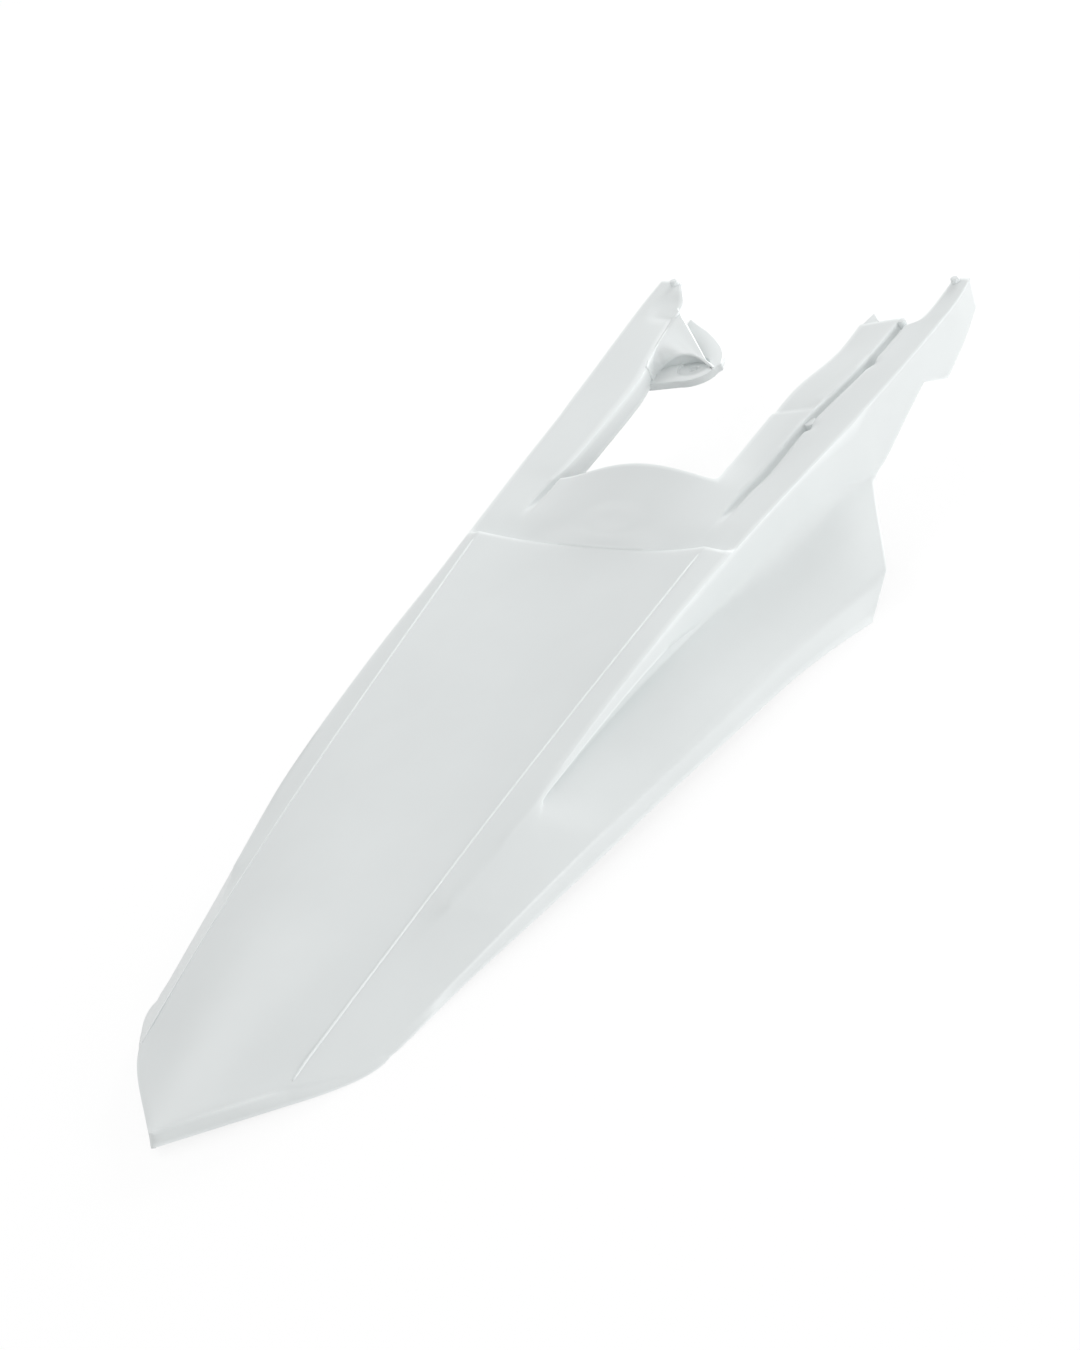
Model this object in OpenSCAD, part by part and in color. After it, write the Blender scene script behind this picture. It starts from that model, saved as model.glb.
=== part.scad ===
// Rear fender of an off-road motorcycle, moulded in one piece with an even wall.
// A crowned deck with a V-shaped tail hollows out towards the seat. Its bevelled edges become
// ridges, the ridges undercut into a wide wing with a hanging lip, and the ridges run on past
// the seat pad as two arms. The right arm carries a ledge, the left arm a bracket with an eye.
// X runs from the tail to the arms, Y to the left, Z up from the lips that the fender lies on.

/* [Lengths along the fender] */
// Tail tip to the step in front of the seat pad
deck_length = 430; // [410:1:450]
// Hollow between the deck and the seat pad
step_length = 22; // [18:1:28]
// Seat pad, from the hollow to the arch between the arms
pad_length = 38; // [32:1:44]
// Arch to the ends of the arms
arm_length = 200; // [185:1:215]

/* [Wall] */
// Thickness of the moulded wall
wall = 2.6; // [2:0.1:3.2]

/* [Tail] */
// Width between the tail corners
tail_width = 164; // [152:1:174]
// Tail tip to the tail corners
tail_corner = 88; // [82:1:96]
// Height of the deck at the tail tip
tip_height = 11.5; // [10:0.5:14]
// Depth of the turned-down lip at the tail tip
tip_lip = 7; // [6:0.5:9]
// Depth of the lip at the tail corners
corner_lip = 2.6; // [2:0.1:4]

/* [Deck] */
// Width between the deck edges at the tail
deck_width_tail = 104; // [96:1:110]
// Width between the deck edges at the seat
deck_width_seat = 161; // [154:1:166]
// Height of the deck edges at the seat
deck_edge_height = 65; // [62:0.5:68]
// How far the middle of the deck dips below its edges at the seat
deck_dip = 12; // [8:0.5:14]

/* [Ridge] */
// Width across the ridges where they start
ridge_width_start = 148; // [144:1:152]
// Width across the ridges at the seat pad
ridge_width_pad = 199; // [194:1:206]
// Width across the arms at their ends
ridge_width_tip = 233; // [224:1:242]
// Height of the ridges at the seat pad
ridge_height_pad = 62; // [59:0.5:65]
// Height of the ends of the arms
ridge_height_tip = 76; // [72:0.5:80]

/* [Wing] */
// Width across the wings at their front corners
wing_width = 302; // [290:1:312]
// Height of the outer edge of the wings
wing_height = 16; // [14:0.5:18]
// Tail tip to the front corner of the wings
wing_front = 482; // [470:1:490]
// Front corner of the wings to the end of their root on the arms
wing_root_length = 70; // [62:1:76]
// How far the ridge overhangs the foot of its wall
undercut = 5; // [3:0.5:7]
// Arch under the lips, above the surface that the fender lies on
lip_arch = 6; // [4:0.5:8]

/* [Seat pad] */
// Rise of the pad's middle over its sides at the arch
pad_crown = 13.5; // [10:0.5:15]
// Height of the sides of the pad
pad_height = 60; // [58:0.5:61]
// Half width of the pad up to the groove
pad_half = 66; // [64:0.5:68]
// Width of the groove between the pad and the arms
groove_width = 6; // [5:0.5:7]
// Depth of that groove
groove_depth = 3; // [2:0.5:6]

/* [Arms] */
// Distance of the ledge's free edge from the middle, at the arch
ledge_inner = 48; // [45:1:51]
// Arch to the end of the right arm's ledge
ledge_length = 164; // [156:1:168]
// Depth of the left arm's inner wall
arm_inner_wall = 14; // [11:0.5:17]
// Length of the pointed inner corner at the end of the ledge
ledge_point = 12.8; // [8:0.2:16]
// Height of the small stops on the ends of the arms
tip_stop = 3.6; // [2:0.2:6]

/* [Bracket] */
// Bore of the eye in the left arm's bracket
eye_bore = 6.6; // [5.5:0.1:8]
// Diameter of the sunk face around that bore
eye_face = 21; // [18:0.5:23]
// Outside diameter of the bracket's round end
eye_diameter = 34; // [30:0.5:38]
// Distance of the eye from the middle of the fender
eye_offset = 53; // [50:1:56]
// Thickness of the bracket
bracket_thickness = 5; // [4:0.5:6]

/* [Bosses] */
// Spacing of the two screw bosses under the deck
boss_spacing = 50; // [40:1:60]
// Tail tip to the bosses
boss_position = 285; // [260:1:310]
// Outside diameter of the bosses
boss_diameter = 14; // [12:0.5:17]
// Screw bore of the bosses
boss_bore = 5.4; // [4.5:0.1:6.5]
// Length of the bosses below the deck
boss_length = 16; // [13:1:20]

/* [Hidden] */
$fn = 48;

pad_start = deck_length + step_length;
arch_x = pad_start + pad_length;
fender_length = arch_x + arm_length;
ledge_end = arch_x + ledge_length;
wing_root_front = wing_front + wing_root_length;
ridge_start = 0.384 * deck_length;
under_start = 0.535 * deck_length;
groove_outer = pad_half + groove_width;

// Smooth curves through guide points, each [x, half width, height]
function slope(p, k) =
    let (a = max(k - 1, 0), b = min(k + 1, len(p) - 1))
    (p[b] - p[a]) / (p[b][0] - p[a][0]);
function span(p, x, k = 0) = k >= len(p) - 2 || x < p[k + 1][0] ? k : span(p, x, k + 1);
function curve(p, x) =
    let (k = span(p, x), d = p[k + 1][0] - p[k][0], t = min(max((x - p[k][0]) / d, 0), 1))
    (1 + 2 * t) * pow(1 - t, 2) * p[k] + t * pow(1 - t, 2) * d * slope(p, k)
    + t * t * (3 - 2 * t) * p[k + 1] + t * t * (t - 1) * d * slope(p, k + 1);
// Straight stretches through the same kind of points
function chain(p, x) =
    let (k = span(p, x), t = min(max((x - p[k][0]) / (p[k + 1][0] - p[k][0]), 0), 1))
    mix(p[k], p[k + 1], t);
function mix(a, b, t) = a + (b - a) * t;
function ease(t) = let (s = min(max(t, 0), 1)) s * s * (3 - 2 * s);
function unit(v) = norm(v) < 1e-9 ? [0, 0, 1] : v / norm(v);

// Guide lines of the right half; the left half mirrors them
centre_line = [
    [3, 0, tip_height],
    [0.23 * deck_length, 0, mix(tip_height, deck_edge_height - deck_dip, 0.42)],
    [0.45 * deck_length, 0, mix(tip_height, deck_edge_height - deck_dip, 0.68)],
    [deck_length + 3, 0, deck_edge_height - deck_dip]];
deck_edge = [
    [tail_corner * 0.56, deck_width_tail / 2, tip_height - 0.4],
    [0.34 * deck_length, mix(deck_width_tail, deck_width_seat, 0.32) / 2,
        mix(tip_height, deck_edge_height, 0.315)],
    [0.595 * deck_length, mix(deck_width_tail, deck_width_seat, 0.6) / 2,
        mix(tip_height, deck_edge_height, 0.62)],
    [deck_length - 4, deck_width_seat / 2, deck_edge_height]];
ridge = [
    [ridge_start, ridge_width_start / 2, mix(tip_height, ridge_height_pad, 0.37)],
    [under_start, mix(ridge_width_start, ridge_width_pad, 0.42) / 2,
        mix(tip_height, ridge_height_pad, 0.55)],
    [0.72 * deck_length, mix(ridge_width_start, ridge_width_pad, 0.58) / 2,
        mix(tip_height, ridge_height_pad, 0.755)],
    [0.92 * deck_length, mix(ridge_width_start, ridge_width_pad, 0.73) / 2,
        mix(tip_height, ridge_height_pad, 0.9)],
    [arch_x - 10, ridge_width_pad / 2, ridge_height_pad],
    [arch_x + 0.44 * arm_length, mix(ridge_width_pad, ridge_width_tip, 0.53) / 2,
        mix(ridge_height_pad, ridge_height_tip, 0.35)],
    [fender_length, ridge_width_tip / 2, ridge_height_tip]];
// Foot of the wall under the ridge, where the wing begins
root_drop = [
    [under_start, 0, 1],
    [under_start + 23, 3.4, 9.2],
    [0.7 * deck_length, undercut, 20.5],
    [0.8 * deck_length, undercut, 24.5],
    [0.9 * deck_length, undercut, 26],
    [deck_length - 10, undercut, 24.5],
    [pad_start + 18, 4, 25],
    [arch_x + 30, 2, 29],
    [wing_root_front, -1, 37.5]];
wing_edge = [
    [tail_corner, tail_width / 2 - 4, corner_lip],
    [tail_corner + 55, mix(tail_width, wing_width, 0.12) / 2, mix(corner_lip, wing_height, 0.37)],
    [under_start, mix(tail_width, wing_width, 0.39) / 2, mix(corner_lip, wing_height, 0.92)],
    [0.7 * wing_front, mix(tail_width, wing_width, 0.645) / 2, wing_height + 0.8],
    [0.85 * wing_front, mix(tail_width, wing_width, 0.78) / 2, wing_height],
    [wing_front, wing_width / 2, wing_height]];
lip_edge = [
    [tail_corner, 0, 0],
    [0.42 * deck_length, 0, 0.55 * lip_arch],
    [0.68 * deck_length, 0, lip_arch],
    [0.9 * deck_length, 0, 0.55 * lip_arch],
    [wing_front - 28, 0, 0],
    [wing_front, 0, 0]];
// Lower edge of the arm's outer wall, with the notch and the lug
arm_foot = [
    [wing_root_front, 0, 37.5],
    [wing_root_front + 13, 1, 39.5],
    [arch_x + 105, 1.5, 29.5],
    [arch_x + 130, 1, 21],
    [arch_x + 152, 1, 34],
    [arch_x + 168, 0.8, 28.5],
    [fender_length - 3, 0.5, 18.5]];
// Inner edge of the top strip of each arm
strip_right = [
    [pad_start - 6, groove_outer, pad_height - 1.5],
    [arch_x + 10, groove_outer + 2, pad_height - 1],
    [arch_x + 62, groove_outer + 6, pad_height + 4.5],
    [arch_x + 112, groove_outer + 16, pad_height + 9],
    [ledge_end, groove_outer + 18.5, pad_height + 11.5]];
strip_left = [
    [pad_start - 6, groove_outer, pad_height - 1.5],
    [arch_x + 10, groove_outer - 3.5, pad_height - 0.5],
    [arch_x + 60, groove_outer - 4.5, pad_height + 3.5],
    [arch_x + 100, groove_outer - 3, pad_height + 6.5],
    [arch_x + 130, groove_outer + 4.5, pad_height + 9],
    [ledge_end, groove_outer + 10.5, pad_height + 11]];
// Share of the way from the groove to the ridge, for the right and for the left arm
strip_tip = [
    [ledge_end, 0.73, 0.21],
    [ledge_end + 14, 0.765, 0.27],
    [fender_length, 0.775, 0.72]];
ledge_edge = [
    [arch_x, ledge_inner, pad_height + 2.5],
    [arch_x + 76, ledge_inner - 5.5, pad_height + 1.7],
    [arch_x + 104, ledge_inner - 5.5, pad_height + 1.6],
    [arch_x + 136, ledge_inner + 5.5, pad_height + 4],
    [ledge_end, ledge_inner + 6, pad_height + 7]];

// Columns of the right half, counted from the middle of the deck outwards
deck_share = [0, 0.15, 0.31, 0.46, 0.58, 0.68, 0.77, 0.83, 0.89, 0.95, 1];
LEDGE = 4;
PAD = 6;
FOOT = 8;
STRIP = 9;
EDGE = 10;
RIDGE = 11;
ROOT = 16;
WING = 19;
LIP = 20;

// Rows: key stations, and how many steps lead to each
KEYS = ["tail", "ridge", "under", "fold", "step", "hollow", "pad", "arch", "wing", "arm", "notch",
    "lug", "ledge", "strip", "tip"];
steps = [0, 13, 5, 4, 13, 1, 2, 4, 6, 4, 2, 2, 1, 1, 3];
function total(k) = k < 0 ? 0 : steps[k] + total(k - 1);
function key_row(name) = 1 + total(search([name], KEYS)[0]);
function key_of(i, k = 1) = k >= len(steps) - 1 || i <= 1 + total(k) ? k : key_of(i, k + 1);
ARCH_ROW = key_row("arch");
WING_ROW = key_row("wing");
LEDGE_ROW = key_row("ledge");
TIP_ROW = key_row("tip");

// Station of each group of columns at the key rows
deck_x = [0, ridge_start - 6, under_start - 3, under_start + 25, deck_length, deck_length + 2,
    pad_start - 3, arch_x];
ridge_x = [tail_corner, ridge_start, under_start, under_start + 28, deck_length, deck_length + 5,
    pad_start, arch_x, wing_root_front, arch_x + 105, arch_x + 130, arch_x + 152, ledge_end,
    ledge_end + 3, fender_length];
wing_x = [tail_corner, ridge_start + 17, under_start + 1, under_start + 28, wing_front - 86,
    wing_front - 82, wing_front - 66, wing_front - 34, wing_front];

function station(list, i) =
    let (k = key_of(i), t = (i - 1 - total(k - 1)) / steps[k])
    mix(list[k - 1], list[k], t);

// Trailing edge of the tail: a V with slightly bulging sides that rounds into the tail corners
function bend(a, b, e, t) = a * pow(1 - t, 2) + b * 2 * t * (1 - t) + e * t * t;
tail_edge = [0.57 * tail_corner, deck_width_tail / 2, tip_height - 1];
function trailing(c) =
    let (f = deck_share[min(c, EDGE)], g = 0.9 * f + 0.1 * pow(f, 6))
    c <= EDGE ? [mix(3, tail_edge[0], g), tail_edge[1] * f,
        mix(tip_height, tail_edge[2], f * f) + 6 * f * (1 - f)]
    : bend(tail_edge, [0.77 * tail_corner, 0.45 * tail_width, corner_lip - 0.6],
        [tail_corner, tail_width / 2 - 4, corner_lip], (c - EDGE) / (WING - EDGE));

// Deck from the tail to the step
function deck_point(i, c) =
    let (f = deck_share[c], s = (i - 1) / (key_row("step") - 1), start = trailing(c),
        x = start[0] + (station(deck_x, i) + (3 - 7 * f * f) * ease(s))
            * (1 - start[0] / (deck_length + 3)),
        mid = curve(centre_line, x), edge = curve(deck_edge, x),
        own = [x, edge[1] * f, mix(mid[2], edge[2], f * f)])
    own + (start - trailing_on_deck(c)) * pow(1 - min(s * 6, 1), 2);
function trailing_on_deck(c) =
    let (f = deck_share[c], x = trailing(c)[0])
    [x, curve(deck_edge, x)[1] * f, mix(curve(centre_line, x)[2], curve(deck_edge, x)[2], f * f)];

// Seat pad with its grooves, between the hollow and the arch
function pad_point(i, c) =
    let (x = station(deck_x, i), s = min(max((x - pad_start + 3) / (arch_x - pad_start + 3), 0), 1),
        g = ease((x - deck_length - 2) / (pad_start - 5 - deck_length)),
        half = c <= PAD ? pad_half * deck_share[c] / deck_share[PAD]
            : c == PAD + 1 ? pad_half + 1.5
            : c == FOOT ? groove_outer - 1.5
            : c == STRIP ? groove_outer
            : curve(deck_edge, deck_length)[1] + 6 * s,
        low = c == PAD + 1 || c == FOOT ? groove_depth * ease((x - pad_start + 1) / 16) : 0,
        r = curve(ridge, x),
        strip = mix(pad_height - 1, r[2], max(half - groove_outer, 0) / (r[1] - groove_outer)),
        across = min(deck_share[c] / deck_share[PAD], 1),
        crown = mix(1.5, pad_crown, s) * pow(1 - across * across, 1.6),
        top = c <= PAD ? pad_height - 1.5 + 1.5 * s + crown : strip,
        hollow = mix(deck_edge_height - deck_dip - 0.8, r[2] - 1.5, pow(half / r[1], 2)))
    [x + 6 * g * across * across * (1 - s) + (3 - 7 * pow(deck_share[c], 2)) * (1 - g),
        mix(curve(deck_edge, deck_length)[1] * deck_share[c], half, g),
        mix(hollow, top, g) - low];

// Ledge, groove and strip of the arms; the right strip steps back beside the end of the ledge
function arm_point(i, c, left) =
    let (x = station(ridge_x, i), r = curve(ridge, x), tip = chain(strip_tip, x),
        notch = left ? 0 : 8 * exp(-pow((x - ledge_end - 1.5) / 8, 2)),
        line = x > ledge_end ? [x, mix(groove_outer, r[1], tip[left ? 2 : 1]), r[2] - 0.8]
            : curve(left ? strip_left : strip_right, x),
        edge = line - [notch, 0, 0],
        deep = left ? mix(groove_depth, arm_inner_wall, ease((x - arch_x) / 12)) : groove_depth,
        brink = chain(ledge_edge, x), start = ease((x - arch_x) / 20),
        floor = [x, edge[1] - groove_width, edge[2] + 0.5])
    c == EDGE ? mix(edge, r, 0.62) + [0, 0, 0.6]
    : c == STRIP ? edge
    : c == FOOT ? edge - [0, left ? -2 * start : 1.5, deep]
    : c == PAD + 1 ? edge - [0, groove_width - 1.5, groove_depth]
    : c == PAD ? floor
    : mix(brink + [0, 0, 2 * (1 - start)], floor, (c - LEDGE) / (PAD - LEDGE));

// Bevelled ridge, its wall, the wing and the lip
function side_point(i, c) =
    let (rx = station(ridge_x, i), wx = i > WING_ROW ? rx : station(wing_x, i),
        r = curve(ridge, rx), d = curve(root_drop, rx), e = curve(wing_edge, wx),
        foot = [rx, r[1] - d[1], r[2] - d[2]],
        m = ease((rx - under_start) / 28),
        ends = min(ease((rx - deck_length + 30) / 60), 1 - ease((rx - wing_root_front + 60) / 60)),
        round = i == WING_ROW ? 0.5 : 3 + 12 * ends,
        a = foot + unit(r - foot) * min(round, 0.6 * norm(r - foot)),
        b = foot + unit(e - foot) * round,
        q = (c - 12) / 4,
        bent = c <= ROOT ? a * pow(1 - q, 2) + foot * 2 * q * (1 - q) + b * q * q
            : mix(b, e, (c - ROOT) / (WING - ROOT)),
        flat = mix(r, e, (c - RIDGE) / (WING - RIDGE)))
    c == RIDGE ? r : mix(flat, bent, m);

// Outer wall of the arms, down to its notched lower edge
function arm_wall_point(i, c) =
    let (x = station(ridge_x, i), r = curve(ridge, x), d = chain(arm_foot, x),
        t = (c - RIDGE) / (ROOT - RIDGE))
    [x, r[1] - d[1] * t, r[2] - d[2] * t];

// Side of the tail, between the deck edge and the outer edge
function tail_side_point(i, c) =
    let (s = (i - 1) / steps[1], a = deck_point(i, EDGE), e = curve(wing_edge, station(wing_x, i)),
        first = mix(1 / 9, 0.28, s),
        t = c == WING ? 1 : mix(first, 1, (c - RIDGE) / (WING - RIDGE)),
        r0 = curve(ridge, ridge_start), a1 = deck_point(key_row("ridge"), EDGE),
        e1 = curve(wing_edge, station(wing_x, key_row("ridge"))),
        bulge = (r0 - mix(a1, e1, 0.28)) * pow(s, 2),
        flat = mix(a, e, t) + bulge * (1 - (t - first) / (1 - first)),
        edge = trailing(c) - mix(trailing(EDGE), trailing(WING), t))
    flat + edge * pow(1 - s, 3);

// Lower edge of the side lips; it flares at the tail and slants back at the front of the wings
function lip_point(i) =
    let (e = top_point(i, WING, false), x = e[0] - 28 * pow(e[0] / wing_front, 9),
        out = mix(4, 1.2, ease((x - tail_corner) / 60)))
    [i == 1 ? x + 3 : x, e[1] + out, min(curve(lip_edge, x)[2], e[2] - 0.8 * corner_lip)];

// Outer surface of the right half at row i and column c
function top_point(i, c, left) =
    c == LIP ? lip_point(max(i, 1))
    : i > WING_ROW && c > RIDGE ? arm_wall_point(i, c)
    : c >= RIDGE && i <= key_row("ridge") ? tail_side_point(i, c)
    : c >= RIDGE ? side_point(i, c)
    : i > ARCH_ROW ? arm_point(i, c, left)
    : i > key_row("step") ? pad_point(i, c)
    : deck_point(i, c);

// Lower edge of the lip along the trailing edge
function skirt_point(c) =
    let (f = deck_share[min(c, EDGE)], low = tip_height - tip_lip,
        knee = [tail_edge[0] - 4, tail_edge[1] - 1.5, 0.36 * low])
    c <= EDGE ? mix([0, 0, low], knee, f)
    : bend(knee, [0.84 * tail_corner, tail_width / 2 + 1, 0],
        [tail_corner + 0.5, tail_width / 2, 0], (c - EDGE) / (LIP - EDGE));

function outer(i, c, left) = i == 0 ? skirt_point(c) : top_point(i, c, left);

// Whole surface: columns run from the right lip over the middle to the left lip
columns = 2 * LIP;
rows = TIP_ROW;
function mirrored(p, j) = j < LIP ? [p[0], -p[1], p[2]] : p;
surface = [for (i = [0:rows]) [for (j = [0:columns])
    mirrored(outer(i, abs(j - LIP), j > LIP), j)]];

// Cells that exist: the gap between the arms and the space before the wings stay open
function solid_cell(i, j) =
    let (left = j >= LIP, c = left ? j - LIP : LIP - 1 - j)
    i < 0 || j < 0 || i >= rows || j >= columns ? false
    : i >= WING_ROW && c >= ROOT ? false
    : i < ARCH_ROW ? true
    : i >= LEDGE_ROW ? c >= STRIP
    : left ? c >= FOOT
    : c >= LEDGE;
cells = [for (i = [0:rows - 1]) [for (j = [0:columns - 1]) solid_cell(i, j)]];
function cell(i, j) = i < 0 || j < 0 || i >= rows || j >= columns ? false : cells[i][j];
function cell_normal(i, j) =
    unit(cross(surface[i + 1][j + 1] - surface[i][j], surface[i][j + 1] - surface[i + 1][j]));
normals = [for (i = [0:rows - 1]) [for (j = [0:columns - 1]) cell_normal(i, j)]];

// Inner surface: each point moves inwards until the wall is even on every side that meets there
function around(i, j) = [for (a = [i - 1, i], b = [j - 1, j]) if (cell(a, b)) normals[a][b]];
function sum(v, k = 0) = k >= len(v) ? [0, 0, 0] : v[k] + sum(v, k + 1);
function thickness(i, j) = wall * (i <= 1 && abs(j - LIP) >= WING - 2 ? 0.6 : 1);
function inner_point(i, j) =
    let (n = around(i, j), mean = unit(sum(n)), rim = i == 0 || abs(j - LIP) == LIP,
        m = unit([i == TIP_ROW ? 0 : mean[0], mean[1], rim ? 0 : mean[2]]),
        least = len(n) == 0 ? 1 : min([for (v = n) v * m]))
    surface[i][j] - m * thickness(i, j) / max(least, 0.55);
inside = [for (i = [0:rows]) [for (j = [0:columns]) inner_point(i, j)]];

function at(i, j) = i * (columns + 1) + j;
function under(i, j) = at(i, j) + (rows + 1) * (columns + 1);
function quad(a, b, c, d) = [[a, b, c], [a, c, d]];
shell_faces = [for (i = [0:rows - 1], j = [0:columns - 1]) if (cells[i][j]) each concat(
    quad(at(i, j), at(i, j + 1), at(i + 1, j + 1), at(i + 1, j)),
    quad(under(i, j), under(i + 1, j), under(i + 1, j + 1), under(i, j + 1)),
    cell(i, j - 1) ? [] : quad(at(i, j), at(i + 1, j), under(i + 1, j), under(i, j)),
    cell(i, j + 1) ? [] : quad(at(i + 1, j + 1), at(i, j + 1), under(i, j + 1), under(i + 1, j + 1)),
    cell(i - 1, j) ? [] : quad(at(i, j + 1), at(i, j), under(i, j), under(i, j + 1)),
    cell(i + 1, j) ? [] : quad(at(i + 1, j), at(i + 1, j + 1), under(i + 1, j + 1), under(i + 1, j)))];

module shell() {
    polyhedron(concat([for (row = surface) each row], [for (row = inside) each row]), shell_faces);
}

// Screw bosses under the deck
boss_top = mix(curve(centre_line, boss_position)[2], curve(deck_edge, boss_position)[2],
    pow(boss_spacing / 2 / curve(deck_edge, boss_position)[1], 2)) - 1.2;
module bosses() {
    for (side = [-1, 1]) translate([boss_position, side * boss_spacing / 2, boss_top - boss_length])
        cylinder(h = boss_length, d = boss_diameter);
}
module boss_bores() {
    for (side = [-1, 1])
        translate([boss_position, side * boss_spacing / 2, boss_top - boss_length - 1])
            cylinder(h = boss_length - 1, d = boss_bore);
}

// Pointed inner corner of the ledge, a peg in the groove and one at the groove's end
module ledge_details() {
    translate([ledge_end, 0, pad_height + 4.9]) linear_extrude(2.4) polygon([
        [-5, -ledge_inner - 6.5], [ledge_point, -ledge_inner - 9], [2, -ledge_inner - 18],
        [-5, -ledge_inner - 17]]);
    translate([arch_x + 64, -groove_outer - 2.8, pad_height - 4]) cylinder(h = 6.2, d = 8);
    translate([ledge_end - 4.5, -groove_outer - 15, pad_height + 3]) cylinder(h = 10, d = 4.8);
}

// Small stops on the inner corners of the ends of the arms
module tip_stops() {
    for (side = [-1, 1]) {
        share = strip_tip[2][side < 0 ? 1 : 2];
        translate([fender_length - 3,
            side * (mix(groove_outer, ridge_width_tip / 2, share) + 2.6), ridge_height_tip - 2.6])
            cylinder(h = tip_stop + 2.6, d = 5);
    }
}

// Bracket of the left arm: a plate with a round end, and a gusset that rises to the arm
eye_x = arch_x + 132;
bracket_top = pad_height - 4;
module bracket() {
    translate([eye_x, eye_offset, bracket_top - bracket_thickness]) {
        cylinder(h = bracket_thickness, d = eye_diameter);
        linear_extrude(bracket_thickness) polygon([
            [-0.46 * eye_diameter, -4], [-22, 24], [49, 28], [42, 16], [31, 4], [22, -6],
            [0.3 * eye_diameter, -0.39 * eye_diameter]]);
    }
    translate([eye_x, eye_offset, bracket_top]) polyhedron(
        [[6, 24, -1], [40, 29, -1], [-3, 1 - 0.5 * eye_diameter, -1],
            [6, 24, 10], [40, 29, 14.5], [-3, 1 - 0.5 * eye_diameter, 1]],
        [[3, 4, 5], [4, 3, 0, 1], [5, 4, 1, 2], [3, 5, 2, 0], [0, 2, 1]]);
}
module bracket_bore() {
    translate([eye_x, eye_offset, bracket_top - bracket_thickness - 1])
        cylinder(h = bracket_thickness + eye_face, d = eye_bore);
    translate([eye_x, eye_offset, bracket_top - 1.5]) cylinder(h = eye_face, d = eye_face);
}

module rear_fender() {
    color("whitesmoke") translate([-fender_length / 2, 0, 0]) difference() {
        union() {
            shell();
            ledge_details();
            tip_stops();
            bosses();
            bracket();
        }
        boss_bores();
        bracket_bore();
    }
}

rear_fender();
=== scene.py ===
"""Rear fender of an off-road motorcycle: one injection-moulded piece of glossy white polypropylene.

The shell is one grid whose rows run across the fender and whose columns run along it. Each point is
put where the moulding's guide lines say, sizes in millimetres from the tail tip, then the gap
between the arms is cut away, the wall gets its thickness and the edges their small mould radius.
"""
import math

import bmesh
import bpy
from mathutils import Matrix, Vector


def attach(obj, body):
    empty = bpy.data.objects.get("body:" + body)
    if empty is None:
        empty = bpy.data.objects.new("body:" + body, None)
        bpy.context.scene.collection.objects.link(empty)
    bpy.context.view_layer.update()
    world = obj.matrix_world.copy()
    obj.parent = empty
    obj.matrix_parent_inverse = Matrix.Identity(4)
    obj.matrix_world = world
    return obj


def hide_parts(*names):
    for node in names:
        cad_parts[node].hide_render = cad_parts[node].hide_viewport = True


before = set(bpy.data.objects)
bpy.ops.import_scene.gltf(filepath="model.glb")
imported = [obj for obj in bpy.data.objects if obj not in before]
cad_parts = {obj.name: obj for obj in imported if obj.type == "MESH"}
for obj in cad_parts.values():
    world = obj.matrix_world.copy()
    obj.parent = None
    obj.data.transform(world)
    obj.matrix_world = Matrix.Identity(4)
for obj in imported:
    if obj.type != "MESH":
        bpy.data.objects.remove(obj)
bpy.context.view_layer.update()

# Stations along the fender, in millimetres from the tail tip
TAIL_CORNER, RIDGE_START, UNDER_START = 88, 165, 230
DECK, PAD_START, WING_FRONT, ARCH = 430, 452, 482, 490
LEDGE_END, LENGTH = 654, 690
WING_ROOT = WING_FRONT + 70

# Wall and small mould radius, the tail's lip, the hollow, the pad, the grooves and the arms
WALL, EDGE_RADIUS = 2.6, 0.5
TIP_HEIGHT, TIP_LIP, CORNER_LIP = 11.5, 7, 2.6
DECK_MIDDLE = 53
PAD_CROWN, PAD_REAR_CROWN, PAD_HEIGHT, PAD_HALF = 13.5, 2.2, 60, 66
GROOVE_WIDTH, GROOVE_DEPTH, GROOVE_SIDE = 6, 3, 1.5
GROOVE_OUTER = PAD_HALF + GROOVE_WIDTH
LEFT_WALL = 14

# The undercut: where its blade ends and over what length, how long and how slanted its first fold is,
# and the fillet at the wall's foot, small below the blade and large in front of it
BLADE_END, BLADE_FADE = 345, 55
FOLD_LENGTH, FOLD_SLANT = 16, 20
FILLET, FILLET_GROWTH = 1.5, 13

# Step in the right arm's ledge: station, depth and how far it fades
LEDGE_STEP, STEP_DEPTH, STEP_FADE = 563, 1.8, 14

# Dishes on the pad and on the left tip, and two pits in the right groove: depth, middle, half
# sizes, softness of the rim
DISHES = ((0.9, (452, 1), (9, 20), 0.3), (2, (664, 93), (13, 9), 0.4),
          (4, (608.5, -86), (5, 3), 0.3), (3, (548, -75.5), (4, 3), 0.4))

# Bracket: its eye, the plate's round end, face and bore, and the plate's corners seen from the eye
EYE = Vector((622, 53, 56))
EYE_RADIUS, FACE_RADIUS, BORE_RADIUS, PLATE, SUNK = 17, 10.5, 3.3, 5, 1.5
PLATE_CORNERS = [(-15.6, -6), (-22, 24), (57, 38), (49, 27), (42.5, 16.5), (33, 4), (24, -6),
                 (15, -13.5), (4, -18.5)]
GUSSET_WALL, SCOOP = 1.2, 3.2

# Screw bosses below the deck, and the fine bead on the deck's edges
BOSS_X, BOSS_SPACING, BOSS_TOP, BOSS_HEIGHT = 285, 50, 44.5, 16
BOSS_RADIUS, SCREW_RADIUS, BOSS_FLOOR = 7, 2.7, 2
BEAD_RADIUS, BEAD_SUNK, BEAD_END = 0.6, 0.15, 0.8

# Small mould radius of the separate pieces, and the number of sides of the bracket's circles
PLATE_RADIUS, BOSS_EDGE, STOP_EDGE, BRACKET_SIDES = 0.6, 0.4, 0.5, 96

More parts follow.
